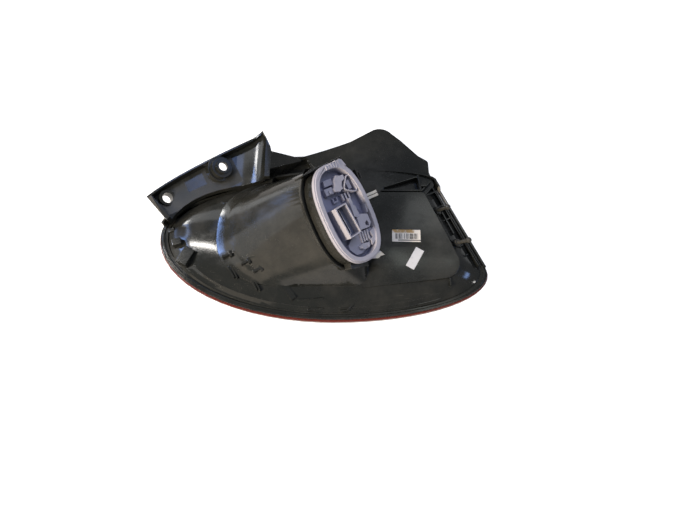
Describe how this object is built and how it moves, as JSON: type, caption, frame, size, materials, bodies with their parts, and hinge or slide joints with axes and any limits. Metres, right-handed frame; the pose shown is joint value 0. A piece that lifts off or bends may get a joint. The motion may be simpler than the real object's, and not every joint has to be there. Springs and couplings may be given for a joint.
{
  "type": "rear combination lamp",
  "caption": "Rear combination lamp: black housing with a bracket arm and a thin wing, red lens below, leaning barrel with a pale bulb carrier and connector shroud, ball studs at the side.",
  "frame": {"origin": "centre of the main screw hole, on the inner face of the boss's end wall", "axes": "+X along the lamp from the bracket arm to the ball studs, +Y towards the wing, +Z away from the lens face towards the bulb carrier"},
  "size_m": [0.4323, 0.2633, 0.1506],
  "materials": {
    "housing": "satin, dusty and scuffed",
    "lens_red": "gloss",
    "lens_clear": "gloss",
    "seal": "matte",
    "reflector": "mirror coating on plastic",
    "carrier": "satin",
    "contact": "plain",
    "bulb_base": "plain",
    "bulb_glass": "clear",
    "stud": "satin",
    "label": "plain fields of colour and bars"
  },
  "bodies": {
    "root": {"housing": "housing", "lens_red": "lens_red", "lens_clear": "lens_clear", "lens_seal": "seal", "reflector": "reflector", "bulb_holder": "carrier", "holder_gasket": "seal", "contact_ground": "contact", "contact_tail": "contact", "contact_stop": "contact", "contact_turn": "contact", "connector_terminals": "contact", "bulb_stop_base": "bulb_base", "bulb_stop_glass": "bulb_glass", "bulb_turn_base": "bulb_base", "bulb_turn_glass": "bulb_glass", "bulb_tail_base": "bulb_base", "bulb_tail_glass": "bulb_glass", "bulb_reverse_base": "bulb_base", "bulb_reverse_glass": "bulb_glass", "ball_stud_upper": "stud", "ball_stud_lower": "stud", "part_label": "label", "inspection_label": "label"}
  },
  "joints": []
}
